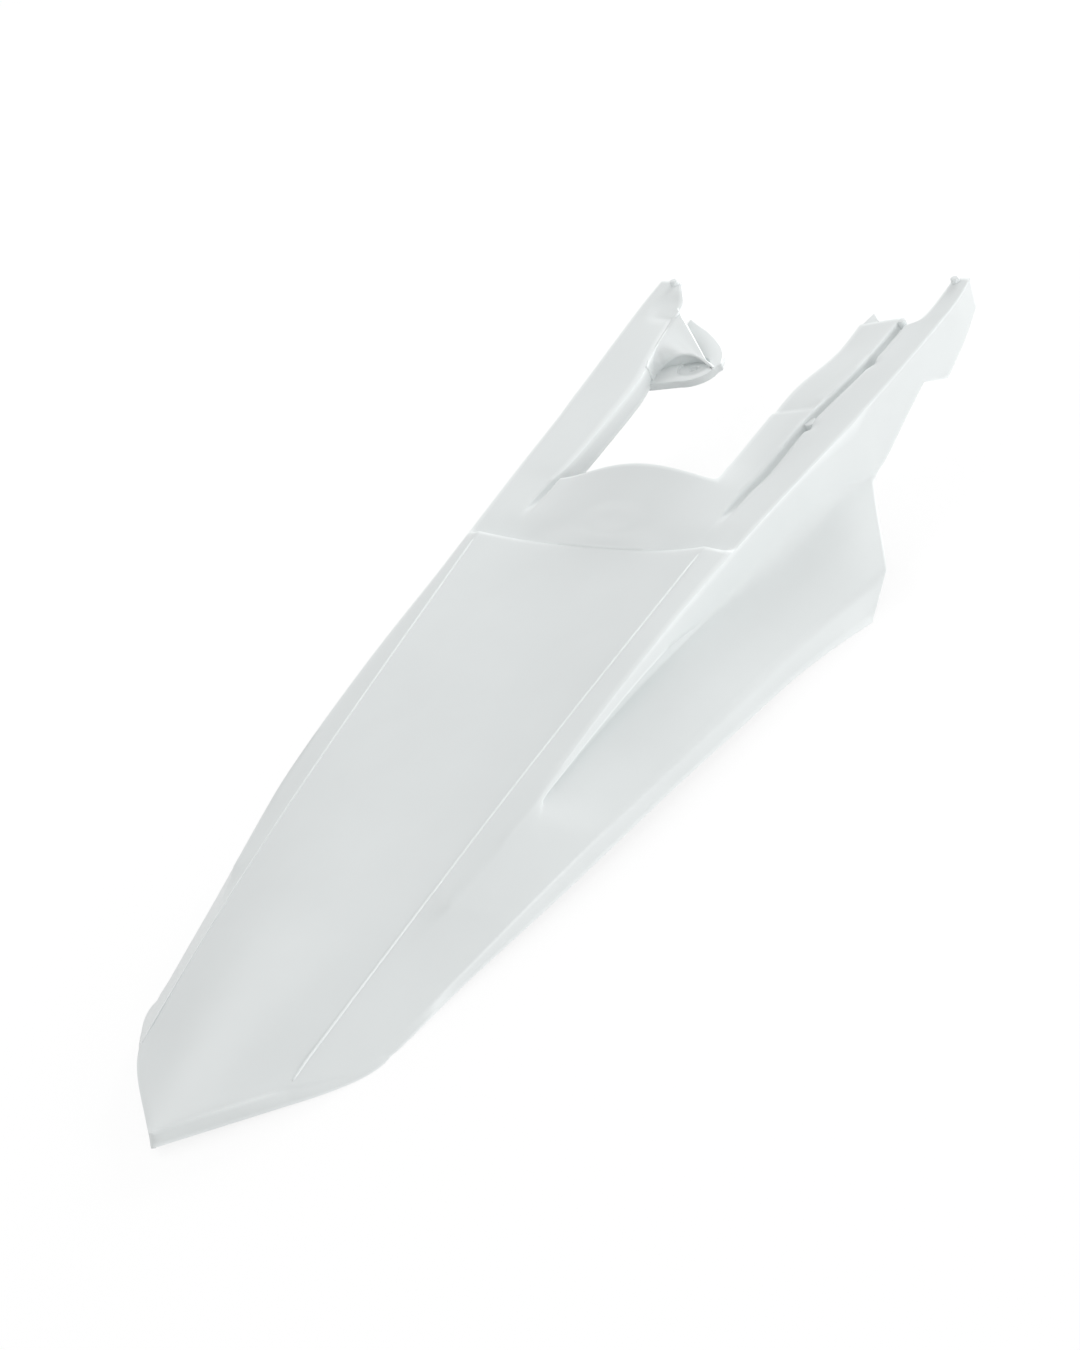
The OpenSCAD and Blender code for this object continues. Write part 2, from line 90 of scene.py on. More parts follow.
# Softboxes and their target's height in metres, the room's light, and how plain the floor is
SOFTBOX_SIZE, SOFTBOX_AWAY, SOFTBOX_TARGET = 1.2, 2.4, 0.03
ROOM_LIGHT, FLOOR_GLOW, FLOOR_PLAIN = 0.65, 1.04, 0.82

# The photograph's camera: angles in degrees, place in the moulding's millimetres
AZIMUTH, ELEVATION, ROLL = 46.81, 30.61, 22.13
CAMERA_AT = (-501.4, -909.9, 762.2)


def mm(*point):
    """A point of the moulding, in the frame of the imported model."""
    x, y, z = point
    return Vector(((x - LENGTH / 2) / 1000, y / 1000, z / 1000))


# Curves through guide points


def mix(a, b, t):
    """Share t of the way from a to b."""
    return a + (b - a) * t


def ease(t):
    """0 to 1 with a soft start and a soft end."""
    t = min(max(t, 0.0), 1.0)
    return t * t * (3 - 2 * t)


def guide(*points):
    """Guide points of a line, each one with its station first."""
    return [Vector(p) for p in points]


def span(line, x):
    """Number of the stretch between guide points that station x lies in."""
    k = 0
    while k < len(line) - 2 and x >= line[k + 1][0]:
        k += 1
    return k


def slope(line, k):
    """Direction of a smooth line at guide point k."""
    a, b = max(k - 1, 0), min(k + 1, len(line) - 1)
    return (line[b] - line[a]) / (line[b][0] - line[a][0])


def curve(line, x):
    """Smooth line through guide points at station x."""
    k = span(line, x)
    d = line[k + 1][0] - line[k][0]
    t = min(max((x - line[k][0]) / d, 0.0), 1.0)
    return ((1 + 2 * t) * (1 - t) ** 2 * line[k] + t * (1 - t) ** 2 * d * slope(line, k)
            + t * t * (3 - 2 * t) * line[k + 1] + t * t * (t - 1) * d * slope(line, k + 1))


def chain(line, x):
    """Straight stretches through guide points."""
    k = span(line, x)
    t = min(max((x - line[k][0]) / (line[k + 1][0] - line[k][0]), 0.0), 1.0)
    return mix(line[k], line[k + 1], t)


def bend(a, b, e, t):
    """Curve from a to e that leans towards b."""
    return a * (1 - t) ** 2 + b * 2 * t * (1 - t) + e * t * t


# Guide lines of the right half: station, distance from the middle, height
CENTRE = guide((3, 0, 11.5), (98.9, 0, 28.93), (193.5, 0, 39.72), (433, 0, 53))
DECK_LINE = guide((49.3, 52, 11.1), (146.2, 61.1, 28.35), (255.9, 69.1, 44.67), (426, 80.5, 65))
RIDGE_LINE = guide((165, 74, 30.2), (230, 84.7, 39.3), (309.6, 88.8, 49.6), (395.6, 92.6, 56.95),
                   (480, 99.5, 62), (578, 108.5, 66.9), (668, 115, 74.3), (690, 113.6, 77.3))
# Foot of the wall under the ridge: how far inside and below the crest
ROOT_DROP = guide((230, 0.5, 2.5), (253, 2.5, 5.2), (278, 4, 8.2), (301, 5, 11), (344, 5.5, 15.5),
                  (387, 5, 20), (420, 5, 23.3), (470, 4, 26), (520, 2, 29), (552, -1, 37.5))
# How far the ridge's upright face reaches down before the wall turns in under it
BLADE = guide((230, 0, 1.5), (244, 0, 2.8), (268, 0, 3.8), (300, 0, 5.4), (335, 0, 7), (365, 0, 9.4),
              (410, 0, 14))
WING_LINE = guide((88, 78, 2.6), (143, 90.3, 7.56), (230, 108.9, 14.93), (337.4, 126.5, 16.8),
                  (409.7, 135.8, 16), (482, 151, 16))
LIP_LINE = guide((88, 0, 0), (180.6, 0, 3.3), (292.4, 0, 6), (387, 0, 3.3), (454, 0, 0), (482, 0, 0))
ARM_FOOT = guide((552, 0, 37.5), (565, 1, 39.5), (595, 1.5, 29.5), (620, 1, 21), (642, 1, 34),
                 (658, 0.8, 28.5), (687, 0.5, 18.5))
STRIP_RIGHT = guide((446, 72, 58.5), (500, 74, 59), (552, 78, 64.5), (602, 88, 69), (654, 90.5, 71.5))
STRIP_LEFT = guide((446, 72, 58.5), (500, 68.5, 59.5), (550, 67.5, 63.5), (590, 69, 66.5),
                   (620, 76.5, 69), (654, 82.5, 71))
STRIP_TIP = guide((654, 0.67, 0.21), (668, 0.67, 0.27), (690, 0.71, 0.62))
LEDGE_LINE = guide((490, 48, 62.5), (566, 42.5, 61.7), (594, 42.5, 61.6), (626, 53.5, 64), (654, 54, 67))
TAIL_EDGE = Vector((50.16, 52, 10.5))
# Gusset of the bracket: share of its width, then station, offset and height of its two edges
GUSSET_TOP = guide((0, 602, 72, 67.4), (0.35, 622, 78.4, 69.2), (0.7, 645, 82.6, 70.6), (1, 664, 85.4, 72.8))
GUSSET_ARCH = guide((0, 606, 73.5, 54), (0.2, 616, 74.5, 57), (0.45, 622, 63, 63.2), (0.65, 625.5, 54, 61.2),
                    (0.82, 624, 46.5, 58.6), (1, 619, 37.5, 55.5))

# Columns of one half, from the middle of the deck outwards
SHARE = [0, 0.15, 0.31, 0.46, 0.58, 0.68, 0.77, 0.83, 0.89, 0.95, 1]
LEDGE, PAD, FOOT, STRIP, EDGE, RIDGE, ROOT, WING, LIP = 4, 6, 8, 9, 10, 11, 16, 19, 20
# Where the ridge starts, as a share of the way from the deck's edge to the tail's outer edge
RIDGE_SHARE = 0.28

# Rows: how many steps lead to each key station
NAMES = ["tail", "ridge", "under", "fold", "step", "hollow", "pad", "arch", "wing", "arm", "notch",
         "lug", "ledge", "strip", "tip"]
STEPS = [0, 13, 5, 4, 13, 1, 2, 4, 6, 4, 2, 2, 1, 1, 3]
ROW = {name: 1 + sum(STEPS[:k + 1]) for k, name in enumerate(NAMES)}
DECK_X = [0, 159, 227, 255, 430, 432, 449, 490]
RIDGE_X = [88, 165, 230, 258, 430, 435, 452, 490, 552, 595, 620, 642, 654, 657, 690]
WING_X = [88, 182, 231, 258, 396, 400, 416, 448, 482]


def station(stations, i):
    """Station of row i, between the key stations."""
    k = 1
    while k < len(STEPS) - 1 and i > 1 + sum(STEPS[:k + 1]):
        k += 1
    return mix(stations[k - 1], stations[k], (i - 1 - sum(STEPS[:k])) / STEPS[k])


# The surface, part by part


def trailing(c):
    """Upper edge of the tail's lip: a V that rounds into the tail corners."""
    f = SHARE[min(c, EDGE)]
    if c > EDGE:
        return bend(TAIL_EDGE, Vector((67.8, 73.8, 2)), Vector((88, 78, 2.6)), (c - EDGE) / (WING - EDGE))
    return Vector((mix(3, TAIL_EDGE.x, 0.9 * f + 0.1 * f ** 6), TAIL_EDGE.y * f,
                   mix(TIP_HEIGHT, TAIL_EDGE.z, f * f) + 6 * f * (1 - f)))


def on_deck(x, f):
    """The crowned deck at a station, f of the way from its middle to its edge."""
    middle, edge = curve(CENTRE, x), curve(DECK_LINE, x)
    return Vector((x, edge.y * f, mix(middle.z, edge.z, f * f)))


def bow(f):
    """The deck's front edge curves: ahead of its station in the middle, behind it at the sides."""
    return 3 - 7 * f * f


def deck_point(i, c):
    """Deck, from the trailing edge to its front edge."""
    f, s, start = SHARE[c], (i - 1) / (ROW["step"] - 1), trailing(c)
    x = start.x + (station(DECK_X, i) + bow(f) * ease(s)) * (1 - start.x / (DECK + bow(0)))
    return on_deck(x, f) + (start - on_deck(start.x, f)) * (1 - min(s * 6, 1)) ** 2


def pad_point(i, c):
    """Seat pad, its hollow behind and the grooves at its sides."""
    x = station(DECK_X, i)
    s = min(max((x - PAD_START + 3) / (ARCH - PAD_START + 3), 0), 1)
    g = ease((x - DECK - 2) / (PAD_START - 7 - DECK))
    across = min(SHARE[c] / SHARE[PAD], 1)
    deck = curve(DECK_LINE, DECK).y
    half = (PAD_HALF * across if c <= PAD else PAD_HALF + GROOVE_SIDE if c == PAD + 1
            else GROOVE_OUTER - GROOVE_SIDE if c == FOOT else GROOVE_OUTER if c == STRIP else deck + 6 * s)
    low = GROOVE_DEPTH * ease((x - PAD_START + 1) / 16) if c in (PAD + 1, FOOT) else 0
    r = curve(RIDGE_LINE, x)
    if c > PAD:
        top = mix(PAD_HEIGHT - 1, r.z, max(half - GROOVE_OUTER, 0) / (r.y - GROOVE_OUTER))
    else:
        crown = mix(PAD_REAR_CROWN, PAD_CROWN, s) * (1 - across * across) ** 1.6
        top = PAD_HEIGHT - 1.5 + 1.5 * s + crown
    hollow = mix(DECK_MIDDLE - 0.8, r.z - 1.5, (half / r.y) ** 2)
    forward = 6 * g * across * across * (1 - s) + bow(SHARE[c]) * (1 - g)
    return Vector((x + forward, mix(deck * SHARE[c], half, g), mix(hollow, top, g) - low))


def arm_point(i, c, left):
    """Top strip, groove and ledge of the arms."""
    x = station(RIDGE_X, i)
    r, tip = curve(RIDGE_LINE, x), chain(STRIP_TIP, x)
    if x > LEDGE_END:
        edge = Vector((x, mix(GROOVE_OUTER, r.y, tip[2 if left else 1]), r.z - 0.8))
    else:
        edge = curve(STRIP_LEFT if left else STRIP_RIGHT, x)
    if not left:
        edge = edge - Vector((8 * math.exp(-((x - LEDGE_END - 1.5) / 8) ** 2), 0, 0))
    deep = mix(GROOVE_DEPTH, LEFT_WALL, ease((x - ARCH) / 12)) if left else GROOVE_DEPTH
    start = ease((x - ARCH) / 20)
    floor = Vector((x, edge.y - GROOVE_WIDTH, edge.z + 0.5))
    if c == EDGE:
        return mix(edge, r, 0.62) + Vector((0, 0, 0.6))
    if c == STRIP:
        return edge
    if c == FOOT:
        return edge - Vector((0, -2 * start if left else GROOVE_SIDE, deep + (0 if left else 1.5)))
    if c == PAD + 1:
        return edge - Vector((0, GROOVE_WIDTH - GROOVE_SIDE, GROOVE_DEPTH + 0.5))
    if c == PAD:
        return floor
    brink = chain(LEDGE_LINE, x) + Vector((0, 0, 2 * (1 - start)))
    return mix(brink, floor, (c - LEDGE) / (PAD - LEDGE))


def side_point(i, c):
    """Bevelled ridge, the wall under it and the wing."""
    rx = station(RIDGE_X, i)
    wx = rx if i > ROW["wing"] else station(WING_X, i)
    r, d, e = curve(RIDGE_LINE, rx), curve(ROOT_DROP, rx), curve(WING_LINE, wx)
    if c == RIDGE:
        return r
    foot = Vector((rx, r.y - d[1], r.z - d[2]))
    ends = min(ease((rx - DECK + 30) / 60), 1 - ease((rx - WING_ROOT + 60) / 60))
    radius = EDGE_RADIUS if i == ROW["wing"] else FILLET + FILLET_GROWTH * ends
    up, out = r - foot, e - foot
    a = foot + up.normalized() * min(radius, 0.6 * up.length)
    b = foot + out.normalized() * radius
    k = c - RIDGE - 1
    bent = bend(a, foot, b, k / (ROOT - RIDGE - 1)) if c <= ROOT else mix(b, e, (c - ROOT) / (WING - ROOT))
    if c < ROOT:
        lower = Vector((rx, r.y + 0.4, r.z - curve(BLADE, rx).z))
        under = Vector((rx, foot.y - 1.5, lower.z + 0.3))
        blade = (lower, under, mix(under, foot, 0.5), mix(foot, b, 0.2))[k]
        bent = mix(blade, bent, ease((rx - BLADE_END) / BLADE_FADE))
    t = (c - RIDGE) / (WING - RIDGE)
    return mix(mix(r, e, t), bent, ease((rx - UNDER_START + 1 - FOLD_SLANT * t * t) / FOLD_LENGTH))


def arm_wall_point(i, c):
    """Outer wall of the arms, down to its notched lower edge."""
    x = station(RIDGE_X, i)
    r, d, t = curve(RIDGE_LINE, x), chain(ARM_FOOT, x), (c - RIDGE) / (ROOT - RIDGE)
    return Vector((x, r.y - d[1] * t, r.z - d[2] * t))


def tail_side_point(i, c):
    """Side of the tail, between the deck's edge and the outer edge."""
    s, row = (i - 1) / STEPS[1], ROW["ridge"]
    a, e = deck_point(i, EDGE), curve(WING_LINE, station(WING_X, i))
    first = mix((RIDGE - EDGE) / (WING - EDGE), RIDGE_SHARE, s)
    t = 1 if c == WING else mix(first, 1, (c - RIDGE) / (WING - RIDGE))
    r0, a1, e1 = curve(RIDGE_LINE, RIDGE_START), deck_point(row, EDGE), curve(WING_LINE, station(WING_X, row))
    bulge = (r0 - mix(a1, e1, RIDGE_SHARE)) * s ** 4
    flat = mix(a, e, t) + bulge * (1 - (t - first) / (1 - first))
    return flat + (trailing(c) - mix(trailing(EDGE), trailing(WING), t)) * (1 - s) ** 3


def lip_point(i):
    """Lower edge of the side lips; it flares at the tail and slants back at the wings' front."""
    e = top_point(i, WING, False)
    x = e.x - 28 * (e.x / WING_FRONT) ** 9
    return Vector((x + 3 if i == 1 else x, e.y + mix(4, 1.2, ease((x - TAIL_CORNER) / 60)),
                   min(curve(LIP_LINE, x)[2], e.z - 0.8 * CORNER_LIP)))


def top_point(i, c, left):
    """The moulding's outer surface in row i and column c."""
    if c == LIP:
        return lip_point(max(i, 1))
    if i > ROW["wing"] and c > RIDGE:
        return arm_wall_point(i, c)
    if c >= RIDGE:
        return tail_side_point(i, c) if i <= ROW["ridge"] else side_point(i, c)
    if i > ROW["arch"]:
        return arm_point(i, c, left)
    return pad_point(i, c) if i > ROW["step"] else deck_point(i, c)


def skirt_point(c):
    """Lower edge of the lip along the trailing edge."""
    knee = Vector((TAIL_EDGE.x - 4, TAIL_EDGE.y - 1.5, 1.62))
    if c <= EDGE:
        return mix(Vector((0, 0, TIP_HEIGHT - TIP_LIP)), knee, SHARE[c])
    return bend(knee, Vector((73.9, 83, 0)), Vector((88.5, 82, 0)), (c - EDGE) / (LIP - EDGE))


def open_cell(i, left, c):
    """True where the moulding has no wall: between the arms and ahead of the wings."""
    if i >= ROW["wing"] and c >= ROOT:
        return True
    if i < ROW["arch"]:
        return False
    if i >= ROW["ledge"]:
        return c < STRIP
    return c < (FOOT if left else LEDGE)


# Pieces


def mark_edges(bm, angle):
    """Vertex attribute up to 1 on the sharp edges, where the material paints a paler highlight and adds a
    little roughness.
    """
    painted_edge_highlight = bm.verts.layers.float.new("painted_edge_highlight")
    bm.normal_update()
    for edge in bm.edges:
        if edge.is_manifold:
            highlight_level = ease((math.degrees(edge.calc_face_angle()) - angle) / 40 + 0.5)
            for v in edge.verts:
                v[painted_edge_highlight] = max(v[painted_edge_highlight], highlight_level)


def new_piece(name, bm, material, sharp=60):
    """A piece that rides on the fender's body; edges around the angle sharp and above it get the painted
    highlight.
    """
    mark_edges(bm, sharp)
    mesh = bpy.data.meshes.new(name)
    bm.to_mesh(mesh)
    bm.free()
    mesh.materials.append(material)
    for face in mesh.polygons:
        face.use_smooth = True
    piece = bpy.data.objects.new(name, mesh)
    bpy.context.scene.collection.objects.link(piece)
    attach(piece, "root")
    return piece


def make_shell(material):
    """The fender's shell: deck, lips, wings, pad and arms."""
    rows, columns = ROW["tip"], 2 * LIP
    bm = bmesh.new()
    bmesh.ops.create_grid(bm, x_segments=rows, y_segments=columns, size=1)
    sharp = bm.edges.layers.float.new("crease_edge")
    pointed = bm.verts.layers.float.new("crease_vert")
    place = {}
    for v in bm.verts:
        i, j = round((v.co.x + 1) / 2 * rows), round((v.co.y + 1) / 2 * columns)
        place[v] = (i, j)
        c, left = abs(j - LIP), j > LIP
        p = skirt_point(c) if i == 0 else top_point(i, c, left)
        v.co = mm(p.x, p.y if left else -p.y, p.z)

    def cell(face):
        i = min(place[v][0] for v in face.verts)
        j = min(place[v][1] for v in face.verts)
        left = j >= LIP
        return i, left, (j - LIP if left else LIP - 1 - j)

    bmesh.ops.delete(bm, geom=[f for f in bm.faces if open_cell(*cell(f))], context="FACES")
    for v in bm.verts:
        i, j = place[v]
        v[pointed] = (0.6 if i < 2 and j == LIP else
                      0.8 if i in (ROW["notch"], ROW["lug"]) and abs(j - LIP) == ROOT else
                      0.7 if i == ROW["tip"] and abs(j - LIP) in (STRIP, RIDGE) else 0)
    for edge in bm.edges:
        (i, j), (k, m) = place[edge.verts[0]], place[edge.verts[1]]
        edge[sharp] = crease(min(i, k), abs(j - LIP), abs(m - LIP), j == m, j > LIP)
    mesh = walled(bm, 2, WALL)
    bm = bmesh.new()
    bm.from_mesh(mesh)
    bpy.data.meshes.remove(mesh)
    for v in bm.verts:
        x, y, z = v.co.x * 1000 + LENGTH / 2, v.co.y * 1000, v.co.z * 1000
        # The lips and the ends of the arms are flat where they would pass the floor or the length
        v.co = mm(min(max(x, 0), LENGTH), y, max(z + relief(x, y, z), 0))
    piece = new_piece("fender_shell", bm, material)
    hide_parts("rear_fender")
    soften(piece, EDGE_RADIUS)


def crease(row, c, d, along, left):
    """Sharpness of an edge of the coarse surface, from 0 to 1."""
    if along:
        if c == WING:
            return 0.95
        if c == FOOT and left and row >= ROW["arch"]:
            return 0.9
        if c == RIDGE and row >= ROW["under"] - 2:
            return min(0.95, 0.35 + 0.2 * (row - ROW["under"] + 3))
        if c in (RIDGE + 1, RIDGE + 2) and ROW["under"] <= row < ROW["step"]:
            return min(0.95, max(0.15 * (ROW["fold"] + 10 - row), 0))
        if c == ROOT and ROW["under"] <= row < ROW["step"]:
            return 0.5
        if c == EDGE and row < ROW["step"]:
            return 0.75
        if c in (PAD, STRIP) and row >= ROW["pad"]:
            return 0.8
        if c in (PAD + 1, FOOT) and row >= ROW["pad"]:
            return 0.3
    elif row == 1:
        return 0.85
    elif row == ROW["ridge"] and RIDGE <= min(c, d) < WING:
        return 0.6
    elif row in (ROW["step"], ROW["hollow"]) and max(c, d) <= RIDGE:
        return 0.8 if row == ROW["hollow"] else 0.5
    return 0.0


def walled(bm, levels, wall):
    """Mesh of the coarse surface after smoothing, with its wall; corners of the outline stay sharp."""
    mesh = bpy.data.meshes.new("coarse")
    bm.to_mesh(mesh)
    bm.free()
    coarse = bpy.data.objects.new("coarse", mesh)
    bpy.context.scene.collection.objects.link(coarse)
    sub = coarse.modifiers.new("smooth", "SUBSURF")
    sub.levels = sub.render_levels = levels
    sub.boundary_smooth = "PRESERVE_CORNERS"
    solid = coarse.modifiers.new("wall", "SOLIDIFY")
    solid.thickness, solid.offset = wall / 1000, -1
    bpy.context.view_layer.update()
    fine = bpy.data.meshes.new_from_object(coarse.evaluated_get(bpy.context.evaluated_depsgraph_get()))
    bpy.data.objects.remove(coarse)
    bpy.data.meshes.remove(mesh)
    return fine


def soften(piece, radius):
    """Edges rounded a little, as the mould leaves them."""
    rim = piece.modifiers.new("rounded edges", "BEVEL")
    rim.limit_method, rim.angle_limit = "ANGLE", math.radians(55)
    rim.width, rim.segments = radius / 1000, 2


def oval(x, y, centre, size, soft):
    """1 inside an oval, 0 outside it, with a soft rim."""
    r = math.hypot((x - centre[0]) / size[0], (y - centre[1]) / size[1])
    return 1 - ease((r - 1 + soft) / (2 * soft))


def relief(x, y, z):
    """Shallow steps and dishes of the mould, as a change of height."""
    if z < 45:
        return 0
    change = -sum(depth * oval(x, y, middle, size, soft) for depth, middle, size, soft in DISHES)
    if x > LEDGE_STEP and -GROOVE_OUTER < y < -30:
        change -= STEP_DEPTH * math.exp(-(x - LEDGE_STEP) / STEP_FADE)
    return change


def circle(radius, z, centre=(0, 0), count=48):
    """Points of a level circle."""
    turn = [2 * math.pi * k / count for k in range(count)]
    return [(centre[0] + radius * math.cos(a), centre[1] + radius * math.sin(a), z) for a in turn]


def closed_body(loops):
    """Loop after loop extruded from the one before, and the last one bridged to the first."""
    bm = bmesh.new()
    verts = bmesh.ops.create_circle(bm, segments=len(loops[0]), radius=0.01)["verts"]
    rings = []
    for points in loops:
        for v, p in zip(verts, points):
            v.co = mm(*p)
        edges = [edge for edge in bm.edges if edge.verts[0] in verts and edge.verts[1] in verts]
        rings.append(edges)
        if len(rings) < len(loops):
            made = {v for v in bmesh.ops.extrude_edge_only(bm, edges=edges)["geom"]
                    if isinstance(v, bmesh.types.BMVert)}
            verts = [next(e.other_vert(v) for e in v.link_edges if e.other_vert(v) in made) for v in verts]
    bmesh.ops.bridge_loops(bm, edges=rings[0] + rings[-1])
    bmesh.ops.recalc_face_normals(bm, faces=bm.faces)
    return bm


def round_edges(bm, radius, angle):
    """Sharp edges of a small piece rounded, in its own mesh."""
    edges = [e for e in bm.edges if e.is_manifold and e.calc_face_angle() > math.radians(angle)]
    bmesh.ops.bevel(bm, geom=edges, offset=radius / 1000, offset_type="OFFSET", segments=3,
                    profile=0.5, affect="EDGES", clamp_overlap=True, material=-1)


def bracket_reach(angle):
    """Distance of the bracket's outline from the eye, in one direction."""
    d = Vector((math.cos(angle), math.sin(angle)))
    far = EYE_RADIUS
    for a, b in zip(PLATE_CORNERS, PLATE_CORNERS[1:] + PLATE_CORNERS[:1]):
        side = Vector(b) - Vector(a)
        cross = d.x * side.y - d.y * side.x
        if abs(cross) > 1e-6:
            t = (a[0] * side.y - a[1] * side.x) / cross
            s = (a[0] * d.y - a[1] * d.x) / cross
            if t > 0 and -1e-6 <= s <= 1 + 1e-6:
                far = max(far, t)
    return far


def make_bracket(material):
    """Plate with a round end, a sunk face and an eye, and the gusset that ties it to the arm."""
    top, low, sunk = EYE.z, EYE.z - PLATE, EYE.z - SUNK
    turn = [2 * math.pi * k / BRACKET_SIDES for k in range(BRACKET_SIDES)]
    outline = [(EYE.x + bracket_reach(a) * math.cos(a), EYE.y + bracket_reach(a) * math.sin(a)) for a in turn]

    def round_at(radius, z):
        return circle(radius, z, EYE, BRACKET_SIDES)

    bm = closed_body([[(x, y, top) for x, y in outline], round_at(FACE_RADIUS, top),
                      round_at(FACE_RADIUS, sunk), round_at(BORE_RADIUS, sunk),
                      round_at(BORE_RADIUS, low), [(x, y, low) for x, y in outline]])
    round_edges(bm, PLATE_RADIUS, 50)
    new_piece("bracket_plate", bm, material)

    bm = bmesh.new()
    rows, scoop_rows = 12, 4
    bmesh.ops.create_grid(bm, x_segments=32, y_segments=rows, size=0.5)
    for v in bm.verts:
        s, row = v.co.x + 0.5, round((v.co.y + 0.5) * rows)
        rim, arch = (curve(line, s).yzw for line in (GUSSET_TOP, GUSSET_ARCH))
        u = max(row - rows + scoop_rows, 0) / scoop_rows
        # Below the arch the sheet turns in as a scoop and runs down into the sunk face round the bore
        scoop = Vector((arch.x + SCOOP * math.sin(u * math.pi / 2), arch.y,
                        mix(arch.z, sunk - GUSSET_WALL / 2, u ** 1.5)))
        v.co = mm(*(mix(rim, arch, row / (rows - scoop_rows)) if u == 0 else scoop))
    bmesh.ops.reverse_faces(bm, faces=bm.faces)
    mesh = walled(bm, 0, GUSSET_WALL)
    bm = bmesh.new()
    bm.from_mesh(mesh)
    bpy.data.meshes.remove(mesh)
    new_piece("bracket_gusset", bm, material)


def make_bosses(material):
    """Two screw bosses under the deck."""
    for side in (-1, 1):
        at = (BOSS_X, side * BOSS_SPACING / 2)
        low, floor = BOSS_TOP - BOSS_HEIGHT, BOSS_TOP - BOSS_FLOOR
        bm = closed_body([circle(BOSS_RADIUS, BOSS_TOP, at), circle(BOSS_RADIUS, low, at),
                          circle(SCREW_RADIUS, low, at), circle(SCREW_RADIUS, floor, at),
                          circle(0.4, floor, at), circle(0.4, BOSS_TOP, at)])
        round_edges(bm, BOSS_EDGE, 50)
        new_piece("boss_left" if side > 0 else "boss_right", bm, material)


def make_stop(name, outline, height, material):
    """Small moulded stop: its outline, whose corners carry their own level, and its height."""
    bm = bmesh.new()
    corners = bmesh.ops.create_circle(bm, segments=len(outline), radius=0.01, cap_ends=True)["verts"]
    for v, p in zip(corners, outline):
        v.co = mm(*p)
    sides = bmesh.ops.extrude_face_region(bm, geom=list(bm.faces))["geom"]
    bmesh.ops.translate(bm, vec=(0, 0, height / 1000),
                        verts=[v for v in sides if isinstance(v, bmesh.types.BMVert)])
    bmesh.ops.recalc_face_normals(bm, faces=bm.faces)
    round_edges(bm, STOP_EDGE, 30)
    new_piece(name, bm, material)


def make_bead(name, side, material):
    """Fine round bead on one edge of the deck, from the tail to the hollow."""
    bm = bmesh.new()
    bmesh.ops.create_grid(bm, x_segments=96, y_segments=8, size=0.5)
    for v in bm.verts:
        x, turn = mix(TAIL_EDGE.x + 4, DECK - 6, v.co.x + 0.5), 2 * math.pi * v.co.y
        at = curve(DECK_LINE, x)
        # Both ends sink into the deck over a thirtieth of the length
        sunk = BEAD_SUNK + BEAD_END * (1 - ease(30 * min(v.co.x + 0.5, 0.5 - v.co.x)))
        v.co = mm(x, side * (at.y + BEAD_RADIUS * math.cos(turn)),
                  at.z - sunk - side * BEAD_RADIUS * math.sin(turn))
    bmesh.ops.remove_doubles(bm, verts=bm.verts, dist=1e-5)
    bmesh.ops.holes_fill(bm, edges=bm.edges, sides=0)
    bmesh.ops.recalc_face_normals(bm, faces=bm.faces)
    # The low angle marks the whole round of the bead for the painted edge highlight, so it shows as a light
    # line
    new_piece(name, bm, material, 30)


def main():
    white = plastic_material()
    make_shell(white)
    make_bead("deck_bead_right", -1, white)
    make_bead("deck_bead_left", 1, white)
    make_bracket(white)
    make_bosses(white)
    for name, outline, height in (
            ("ledge_point", [(650, -54.5, 64.4), (666.8, -57, 65.2), (657, -66, 66), (650, -64, 65.6)], 2.3),
            ("groove_peg_end", circle(2.4, 63, (649.5, -87), 16), 10),
            ("groove_peg_middle", circle(4, 56, (554, -74.8), 24), 7),
            ("right_tip_stop", circle(2.5, 73.4, (687, -105), 24), 6.2),
            ("left_tip_stop", circle(2.5, 73.4, (687, 101.5), 24), 6.2)):
        make_stop(name, outline, height, white)
    make_stage()
    make_lights()
    make_camera()


# Material, stage, lights and camera


def linear(code):
    """sRGB hex to linear colour."""
    parts = [int(code[k:k + 2], 16) / 255 for k in (1, 3, 5)]
    return [p / 12.92 if p <= 0.04045 else ((p + 0.055) / 1.055) ** 2.4 for p in parts] + [1]


def add(tree, kind, settings=None, links=None):
    """A node with its settings and what its sockets are fed from."""
    node = tree.nodes.new(kind)
    for key, value in (settings or {}).items():
        if isinstance(key, int) or key in node.inputs:
            node.inputs[key].default_value = value
        else:
            setattr(node, key, value)
    for key, source in (links or {}).items():
        tree.links.new(source, node.inputs[key])
    return node


